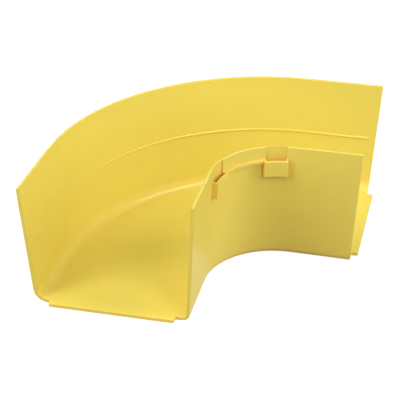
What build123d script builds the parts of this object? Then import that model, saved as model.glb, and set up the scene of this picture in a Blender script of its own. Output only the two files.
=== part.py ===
"""Bend for a fibre optic cable raceway.

An open channel, moulded in one piece, turns a run of raceway through a right angle. Both walls and
both ends lean outwards, as a bucket's do, so that the moulding leaves its tool. A tab of the floor
stands out at each end for the coupler, a low bead runs along the inside of the outer wall, and
pockets on the outsides of the walls take the catches of a cover.

The work is done about the centre of the bend. One leg runs towards -Y and the other towards +X, so
the channel is symmetric about the diagonal y = -x. At the end it is moved so that the origin lies
in the middle of its box, at the level of the underside.
"""
from build123d import *
from math import degrees, hypot, radians, tan
import os

# Channel, in millimetres and degrees
height = 118.0            # underside of the floor to the tops of the walls
wall = 3.0                # thickness of both walls
floor = 3.0               # thickness of the floor and of the end tabs
draft = 2.9               # outward lean of both walls
inner_reach = 66.9        # bend centre to the inner wall's outside face, at the underside
channel_width = 141.5     # outside face to outside face, at the underside
outer_centre_shift = 8.4  # the outer wall turns about a centre this much further along both legs
inner_corner = 7.0        # outside radius between the floor and the inner wall
outer_corner = 13.0       # outside radius between the floor and the outer wall
rim_band = 14.8           # band round the top of the walls' outside faces, which leans out less
rim_draft = 1.4
rim_edge = 0.5            # the walls' top edges are broken by this much

# Ends
inner_leg = 57.5          # straight part of the inner wall, at the underside
end_skew = 1.25           # the outer wall runs on a little further than the inner wall
end_draft = 2.5           # outward lean of the end faces
tab_length = 6.1
tab_inner_inset = 12.3    # outside face of the inner wall to the side of the tab
tab_outer_inset = 13.6    # outside face of the outer wall to the side of the tab
tab_taper = 1.0           # each side of the tab comes in by this much towards its front
tab_corner = 1.0

# Bead along the inside of the outer wall
bead_height = 60.0
bead_radius = 1.5
bead_sink = 0.5           # its axis lies this deep in the wall
bead_end_gap = 8.5        # it stops this far short of the channel's ends

# Catch pockets on the outsides of the walls
pocket_width = 18.2       # between the pocket's side walls
pocket_side = 1.9
pocket_front = 2.5
pocket_bottom = 1.5
pocket_reach = 5.7        # outside face of the wall to the front of the pocket
pocket_edge = 0.6         # rounding round the pocket's front
pocket_height = 16.0
pocket_drop = 12.5        # top of the wall to the rim of the pocket
relief_depth = 1.4        # the wall is thinner behind a pocket, up to its top edge
inner_pocket_swing = 30.7  # angles from the diagonal, on either side
outer_pocket_swing = 42.4

# Ledge between the two pockets of the inner wall
ledge_height = 3.4
ledge_reach = 2.4
ledge_edge = 0.6

# Values that follow
lean = tan(radians(draft))
end_lean = tan(radians(end_draft))
outer_reach = inner_reach + channel_width
outer_shift = Vector(-outer_centre_shift, outer_centre_shift)
outer_radius = outer_reach - outer_centre_shift
overrun = height          # the channel is made this much too long at each end, then cut back
rim_level = height - pocket_drop
diagonal = 135.0          # direction of the channel's plane of symmetry, counted from +X
diagonal_mirror = Plane(origin=(0, 0, 0), z_dir=(1, 1, 0))
end_corner = Vector(-inner_reach, -inner_leg)
end_direction = Vector(-1, 0).rotate(Axis.Z, end_skew)


def reach(point):
    """How far out from the bend's centre a point lies, square to the run."""
    if point.Y < 0:
        return -point.X
    if point.X > 0:
        return point.Y
    return hypot(point.X, point.Y)


def channel_plan(inset):
    """Outline of the channel, set in from its outside faces and run past its ends."""
    inner = inner_reach + inset
    outer = outer_reach - inset
    shift = outer_centre_shift
    end = inner_leg + overrun
    return make_face([
        Line((-inner, 0), (-inner, -end)),
        Line((-inner, -end), (-outer, -end)),
        Line((-outer, -end), (-outer, shift)),
        CenterArc(outer_shift, outer - shift, 90, 90),
        Line((-shift, outer), (end, outer)),
        Line((end, outer), (end, inner)),
        Line((end, inner), (0, inner)),
        CenterArc((0, 0), inner, 90, 90),
    ])


def round_floor(solid, inner_radius, outer_radius):
    """Round a solid's two long bottom edges, the one at the inner wall and the one at the outer."""
    def along(shape, at_inner):
        edges = shape.faces().sort_by(Axis.Z)[0].edges()
        near_wall = channel_width / 4
        if at_inner:
            return edges.filter_by(lambda edge: reach(edge @ 0.5) < inner_reach + near_wall)
        return edges.filter_by(lambda edge: reach(edge @ 0.5) > outer_reach - near_wall)
    solid = fillet(along(solid, True), inner_radius)
    return fillet(along(solid, False), outer_radius)


def make_channel():
    """Both walls and the floor, cut at the ends."""
    block = extrude(channel_plan(0), amount=height - rim_band, taper=-draft)
    block += extrude(block.faces().sort_by(Axis.Z)[-1], amount=rim_band, taper=-rim_draft)
    block = round_floor(block, inner_corner, outer_corner)
    hollow_plan = channel_plan(wall - floor * lean)
    hollow = extrude(Pos(0, 0, floor) * hollow_plan, amount=height, taper=-draft)
    hollow = round_floor(hollow, inner_corner - wall, outer_corner - wall)
    channel = block - hollow
    tops = channel.faces().sort_by(Axis.Z)[-2:]
    rims = [edge for top in tops for edge in top.edges() if edge.length > overrun / 2]
    channel = chamfer(rims, rim_edge)
    for plane in end_planes():
        channel = split(channel, bisect_by=plane, keep=Keep.BOTTOM)
    return channel


def end_planes():
    """The two end faces' planes, which look out of the channel and a little downwards."""
    outwards = end_direction.rotate(Axis.Z, 90)
    near = Plane(origin=end_corner, z_dir=(outwards.X, outwards.Y, -end_lean))
    far = Plane(origin=(inner_leg, inner_reach, 0), z_dir=(-outwards.Y, -outwards.X, -end_lean))
    return near, far


def make_tab():
    """The tab of the floor at the -Y end."""
    across = channel_width - tab_outer_inset
    root = -floor
    tab = make_face(Polyline(
        (tab_inner_inset, root),
        (tab_inner_inset, 0),
        (tab_inner_inset + tab_taper, tab_length),
        (across - tab_taper, tab_length),
        (across, 0),
        (across, root),
        close=True,
    ))
    fronts = tab.vertices().group_by(Axis.Y)[-1]
    tab = fillet(fronts, tab_corner)
    end = Plane(origin=end_corner, x_dir=end_direction)
    return extrude(end * tab, amount=floor)


def make_bead():
    """The bead along the inside of the outer wall, with round ends."""
    radius = outer_radius - wall + bead_height * lean + bead_sink
    side = radius + outer_centre_shift
    outer_end = inner_leg + channel_width * tan(radians(end_skew)) + bead_height * end_lean
    end = outer_end - bead_end_gap
    start = Vector(-side, -end, bead_height)
    path = Line(start, (-side, outer_centre_shift, bead_height))
    path += Pos(0, 0, bead_height) * CenterArc(outer_shift, radius, 180, -90)
    path += Line((-outer_centre_shift, side, bead_height), (end, side, bead_height))
    section = Plane(origin=start, z_dir=(0, 1, 0)) * Circle(bead_radius)
    return sweep(section, path=path) + both_legs(Pos(start) * Sphere(bead_radius))


def both_legs(shape):
    """A shape on the -Y leg and its mirror image on the +X leg."""
    return shape + mirror(shape, about=diagonal_mirror)


def turned_about(centre, swing, width, radius, outline):
    """A profile of radius and height, turned about a wall's centre until it is so wide there."""
    turn = degrees(width / radius)
    start = Vector(1, 0).rotate(Axis.Z, diagonal + swing - turn / 2)
    plane = Plane(origin=centre, x_dir=start, z_dir=start.rotate(Axis.Z, -90))
    profile = plane * make_face(Polyline(*outline, close=True))
    return revolve(profile, axis=Axis(centre, (0, 0, 1)), revolution_arc=turn)


def catch_pocket(centre, radius, outwards, swing):
    """A pocket's block and the space cut from it and from the wall; outwards is -1 at the inner wall."""
    def at(depth, level):
        return radius + outwards * (depth + level * lean), level

    def how_far_out(face):
        place = face.center() - centre
        return outwards * hypot(place.X, place.Y)

    bottom = rim_level - pocket_height
    middle = at(pocket_reach / 2, rim_level)[0]
    block = turned_about(centre, swing, pocket_width + 2 * pocket_side, middle, [
        at(-wall / 2, bottom),
        at(pocket_reach, bottom),
        at(pocket_reach, rim_level),
        at(-wall / 2, rim_level),
    ])
    block = fillet(block.faces().sort_by(how_far_out)[-1].edges(), pocket_edge)
    space = turned_about(centre, swing, pocket_width, middle, [
        at(-relief_depth, bottom + pocket_bottom),
        at(pocket_reach - pocket_front, bottom + pocket_bottom),
        at(pocket_reach - pocket_front, height + wall),
        at(-relief_depth, height + wall),
    ])
    return block, space


def make_ledge():
    """The ledge along the outside of the inner wall, from one pocket to the other."""
    def at(depth, level):
        return inner_reach - depth - level * lean, level
    low = rim_level - ledge_height
    middle = at(pocket_reach / 2, rim_level)[0]
    arc = radians(2 * inner_pocket_swing) * middle - pocket_width - pocket_side
    return turned_about(Vector(0, 0), 0, arc, middle, [
        at(-wall / 2, low),
        at(ledge_reach, low),
        at(ledge_reach, rim_level - ledge_edge),
        at(ledge_reach - ledge_edge, rim_level),
        at(-wall / 2, rim_level),
    ])


def make_elbow():
    """The whole moulding, about the centre of the bend."""
    elbow = make_channel() + both_legs(make_tab()) + make_bead() + make_ledge()
    pockets = [
        catch_pocket(Vector(0, 0), inner_reach, -1, swing)
        for swing in (-inner_pocket_swing, inner_pocket_swing)
    ]
    pockets += [
        catch_pocket(outer_shift, outer_radius, 1, swing)
        for swing in (-outer_pocket_swing, 0, outer_pocket_swing)
    ]
    for block, space in pockets:
        elbow += block
        elbow -= space
    return elbow


def centred(shape):
    """Moved so that the origin is in the middle of the shape's box, at its lowest level."""
    box = shape.bounding_box()
    return Pos(-box.center().X, -box.center().Y, -box.min.Z) * shape


elbow = centred(make_elbow())
elbow.label = "raceway_elbow"
elbow.color = Color(0.93, 0.83, 0.33)

os.makedirs("parts", exist_ok=True)
export_step(elbow, "parts/raceway_elbow.step")
print("volume cm3", round(elbow.volume / 1000, 1), "solids", len(elbow.solids()))
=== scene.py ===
"""Looks of the raceway bend: yellow moulded plastic on a white table, in soft studio light."""
from math import cos, radians, sin

import bpy
from mathutils import Matrix, Vector


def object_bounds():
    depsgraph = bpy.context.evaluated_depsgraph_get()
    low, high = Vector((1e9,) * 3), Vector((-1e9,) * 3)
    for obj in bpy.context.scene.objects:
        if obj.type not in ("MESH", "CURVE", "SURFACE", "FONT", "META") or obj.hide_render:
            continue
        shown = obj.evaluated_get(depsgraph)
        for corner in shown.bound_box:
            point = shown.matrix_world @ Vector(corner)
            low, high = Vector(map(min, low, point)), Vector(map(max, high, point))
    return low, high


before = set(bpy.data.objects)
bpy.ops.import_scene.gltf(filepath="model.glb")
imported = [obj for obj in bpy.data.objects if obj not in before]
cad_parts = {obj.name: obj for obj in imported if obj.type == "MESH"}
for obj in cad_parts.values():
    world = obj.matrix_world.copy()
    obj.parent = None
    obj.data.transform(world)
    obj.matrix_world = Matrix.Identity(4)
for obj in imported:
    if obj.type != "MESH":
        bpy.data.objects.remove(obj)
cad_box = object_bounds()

MM = 0.001
PHOTO_SIZE = 400          # the photograph's frame, in pixels

# Camera, in millimetres, degrees and pixels of the photograph's frame
CAMERA_PLACE = (195.03, -860.06, 566.37)
CAMERA_DOWN = 30.635
CAMERA_TURN = 13.621
CAMERA_FOCUS = 1071.7
CAMERA_SENSOR = 36.0
CAMERA_REACH = 20         # in metres

# Colours, linear
PLASTIC = (0.85, 0.705, 0.126, 1.0)
PLASTIC_DEEP = (0.82, 0.671, 0.117, 1.0)
# painted shade: the warmer, less green colour given to corners and crevices
PLASTIC_PAINTED_SHADE = (0.93, 0.61, 0.14, 1.0)
WHITE = (1.0, 1.0, 1.0, 1.0)

# Plastic
EDGE_RADIUS = 0.25 * MM   # the moulding's edges catch the light as if rounded by this much
EDGE_SAMPLES = 6
NOISE_ROUGHNESS = 0.55
MOTTLE_SCALE = 60.0       # faint unevenness of the colour
MOTTLE_DETAIL = 3.0
SHEEN_SCALE = 22.0        # slow change of the gloss over the walls
SHEEN_DETAIL = 2.0
SHEEN_LOW, SHEEN_HIGH = 0.48, 0.56
PAINTED_SHADE_REACH = 15 * MM     # painted shade: corners and crevices are given a warmer colour, this near to what shades them
PAINTED_SHADE_SAMPLES = 8
SPECULAR = 0.1
POLISH = 0.15             # share of the surface that mirrors more sharply
POLISH_ROUGHNESS = 0.12
GRAIN_SCALE = 1400.0      # texture of the spark-eroded tool
GRAIN_DETAIL = 2.0
GRAIN_STRENGTH = 0.1
GRAIN_DEPTH = 0.1 * MM

# Table
TABLE_SIZE = 12.0
TABLE_GAP = 0.0002        # below the part, so that the two don't share a plane
TABLE_COLOUR = (0.31, 0.25, 0.2, 1.0)     # it throws back warm light on the walls
TABLE_GLOW = 0.9          # whitens it for the camera and in reflections only

# Light, as strong on each side as makes the walls and floor match the photograph
ROOM_LIGHT = 0.26
LAMP_DISTANCE = 2.2
LAMP_WIDTH = 0.9

# Each lamp: its name, degrees from +X towards +Y, degrees up, watts, whether surfaces mirror it
LAMPS = [
    ("key", 315, 42, 11, True),
    ("key_low", 315, 18, 5, True),
    ("right", 0, 42, 10, False),
    ("right_low", 0, 18, 9, False),
    ("left", 225, 42, 11, True),
    ("left_low", 225, 18, 9, True),
    ("left_high", 225, 66, 8, True),
    ("back", 180, 42, 12, True),
]

# A long lamp that only reflections show, as the bright line along the floor's edge; metres
STRIP_ENDS = ((0.45, -0.36, 2.25), (0.97, 0.82, 1.78))
STRIP_WIDTH = 0.3
STRIP_WATTS = 45


def make_camera():
    """The camera, where a fit of its place to the photograph's outlines puts it."""
    data = bpy.data.cameras.new("photo_camera")
    data.sensor_width = CAMERA_SENSOR
    data.lens = CAMERA_FOCUS * CAMERA_SENSOR / PHOTO_SIZE
    data.clip_end = CAMERA_REACH
    camera = bpy.data.objects.new("photo_camera", data)
    camera.location = Vector(CAMERA_PLACE) * MM
    camera.rotation_euler = (radians(90 - CAMERA_DOWN), 0, radians(CAMERA_TURN))
    bpy.context.scene.collection.objects.link(camera)
    bpy.context.scene.camera = camera


def feed(tree, socket, value):
    """Link a socket to another one, or give it a value."""
    if isinstance(value, bpy.types.NodeSocket):
        tree.links.new(value, socket)
    else:
        socket.default_value = value


def add_node(tree, kind, **inputs):
    """A shader node with some of its inputs fed; spaces in their names are written as _."""
    node = tree.nodes.new(kind)
    for name, value in inputs.items():
        feed(tree, node.inputs[name.replace("_", " ")], value)
    return node


def add_maths(tree, operation, first, second):
    """The result of a maths node."""
    node = tree.nodes.new("ShaderNodeMath")
    node.operation = operation
    for socket, value in zip(node.inputs, (first, second)):
        feed(tree, socket, value)
    return node.outputs[0]


def add_mix(tree, share, first, second):
    """A colour between two others, by the share of the second one."""
    node = tree.nodes.new("ShaderNodeMix")
    node.data_type = "RGBA"
    for name, value in (("Factor", share), ("A", first), ("B", second)):
        feed(tree, node.inputs[name], value)
    return node.outputs["Result"]


def add_noise(tree, place, scale, detail):
    """Noise over the object, from 0 to 1."""
    noise = add_node(tree, "ShaderNodeTexNoise", Vector=place, Scale=scale, Detail=detail,
                     Roughness=NOISE_ROUGHNESS)
    return noise.outputs["Fac"]


def new_material(name):
    """A material with an empty node tree and its output."""
    material = bpy.data.materials.new(name)
    material.use_nodes = True
    tree = material.node_tree
    tree.nodes.clear()
    return material, tree, tree.nodes.new("ShaderNodeOutputMaterial")


def yellow_plastic():
    """Satin moulded plastic: mottled, with painted warm shade in its corners and crevices, unevenly
    glossy, finely grained, soft-edged.
    """
    material, tree, output = new_material("yellow_plastic")
    place = tree.nodes.new("ShaderNodeTexCoord").outputs["Object"]

    # painted shade: ambient occlusion mixes the plastic towards a warmer colour in corners and crevices
    openness = add_node(tree, "ShaderNodeAmbientOcclusion", Distance=PAINTED_SHADE_REACH)
    openness.samples = PAINTED_SHADE_SAMPLES
    mottle = add_noise(tree, place, MOTTLE_SCALE, MOTTLE_DETAIL)
    colour = add_mix(tree, mottle, PLASTIC_DEEP, PLASTIC)
    colour = add_mix(tree, openness.outputs["AO"], PLASTIC_PAINTED_SHADE, colour)

    gloss = add_noise(tree, place, SHEEN_SCALE, SHEEN_DETAIL)
    sheen = add_node(tree, "ShaderNodeMapRange", Value=gloss, To_Min=SHEEN_LOW, To_Max=SHEEN_HIGH)

    edges = add_node(tree, "ShaderNodeBevel", Radius=EDGE_RADIUS)
    edges.samples = EDGE_SAMPLES
    pits = add_noise(tree, place, GRAIN_SCALE, GRAIN_DETAIL)
    grain = add_node(tree, "ShaderNodeBump", Strength=GRAIN_STRENGTH, Distance=GRAIN_DEPTH,
                     Height=pits, Normal=edges.outputs["Normal"])

    shader = add_node(tree, "ShaderNodeBsdfPrincipled", Base_Color=colour,
                      Roughness=sheen.outputs["Result"], Specular_IOR_Level=SPECULAR,
                      Coat_Weight=POLISH, Coat_Roughness=POLISH_ROUGHNESS,
                      Normal=grain.outputs["Normal"])
    tree.links.new(shader.outputs["BSDF"], output.inputs["Surface"])
    return material


def make_table():
    """A warm grey table, which its glow shows as white and which keeps the object's soft shadow."""
    material, tree, output = new_material("table_white")
    surface = add_node(tree, "ShaderNodeBsdfDiffuse", Color=TABLE_COLOUR)
    path = tree.nodes.new("ShaderNodeLightPath")
    seen = add_maths(tree, "MAXIMUM", path.outputs["Is Camera Ray"], path.outputs["Is Glossy Ray"])
    seen = add_maths(tree, "MAXIMUM", seen, path.outputs["Is Transmission Ray"])
    strength = add_maths(tree, "MULTIPLY", seen, TABLE_GLOW)
    glow = add_node(tree, "ShaderNodeEmission", Color=WHITE, Strength=strength)
    both = tree.nodes.new("ShaderNodeAddShader")
    tree.links.new(surface.outputs[0], both.inputs[0])
    tree.links.new(glow.outputs[0], both.inputs[1])
    tree.links.new(both.outputs[0], output.inputs["Surface"])
    half = TABLE_SIZE / 2
    mesh = bpy.data.meshes.new("table")
    corners = [(-half, -half, 0), (half, -half, 0), (half, half, 0), (-half, half, 0)]
    mesh.from_pydata(corners, [], [(0, 1, 2, 3)])
    mesh.materials.append(material)
    table = bpy.data.objects.new("table", mesh)
    table.location.z = cad_box[0][2] - TABLE_GAP
    bpy.context.scene.collection.objects.link(table)


def make_light():
    """A dim room with large soft lamps round the table, and the strip."""
    world = bpy.data.worlds.new("room")
    world.use_nodes = True
    tree = world.node_tree
    tree.nodes.clear()
    output = tree.nodes.new("ShaderNodeOutputWorld")
    room = add_node(tree, "ShaderNodeBackground", Color=WHITE, Strength=ROOM_LIGHT)
    tree.links.new(room.outputs[0], output.inputs["Surface"])
    bpy.context.scene.world = world
    for name, turn, rise, watts, mirrored in LAMPS:
        turn, rise = radians(turn), radians(rise)
        place = LAMP_DISTANCE * Vector((cos(turn) * cos(rise), sin(turn) * cos(rise), sin(rise)))
        lamp = add_lamp(name, place, Vector((0, 0, 1)).cross(place), LAMP_WIDTH, LAMP_WIDTH, watts)
        lamp.visible_glossy = mirrored
    start, end = (Vector(point) for point in STRIP_ENDS)
    along = end - start
    strip = add_lamp("strip", (start + end) / 2, along, along.length, STRIP_WIDTH, STRIP_WATTS)
    strip.visible_diffuse = False


def add_lamp(name, place, along, length, width, watts):
    """An elliptic lamp that faces the origin, its length along a given direction."""
    data = bpy.data.lights.new(name, "AREA")
    data.shape = "ELLIPSE"
    data.size, data.size_y = length, width
    data.energy = watts
    lamp = bpy.data.objects.new(name, data)
    facing = place.normalized()
    across = facing.cross(along).normalized()
    turned = Matrix((across.cross(facing), across, facing)).transposed()
    lamp.matrix_world = Matrix.Translation(place) @ turned.to_4x4()
    bpy.context.scene.collection.objects.link(lamp)
    return lamp


def dress_elbow():
    """The moulding keeps its CAD mesh and takes the plastic."""
    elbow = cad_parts["raceway_elbow"]
    elbow.data.materials.clear()
    elbow.data.materials.append(yellow_plastic())


make_camera()
dress_elbow()
make_table()
make_light()
bpy.context.scene.view_settings.view_transform = "Standard"
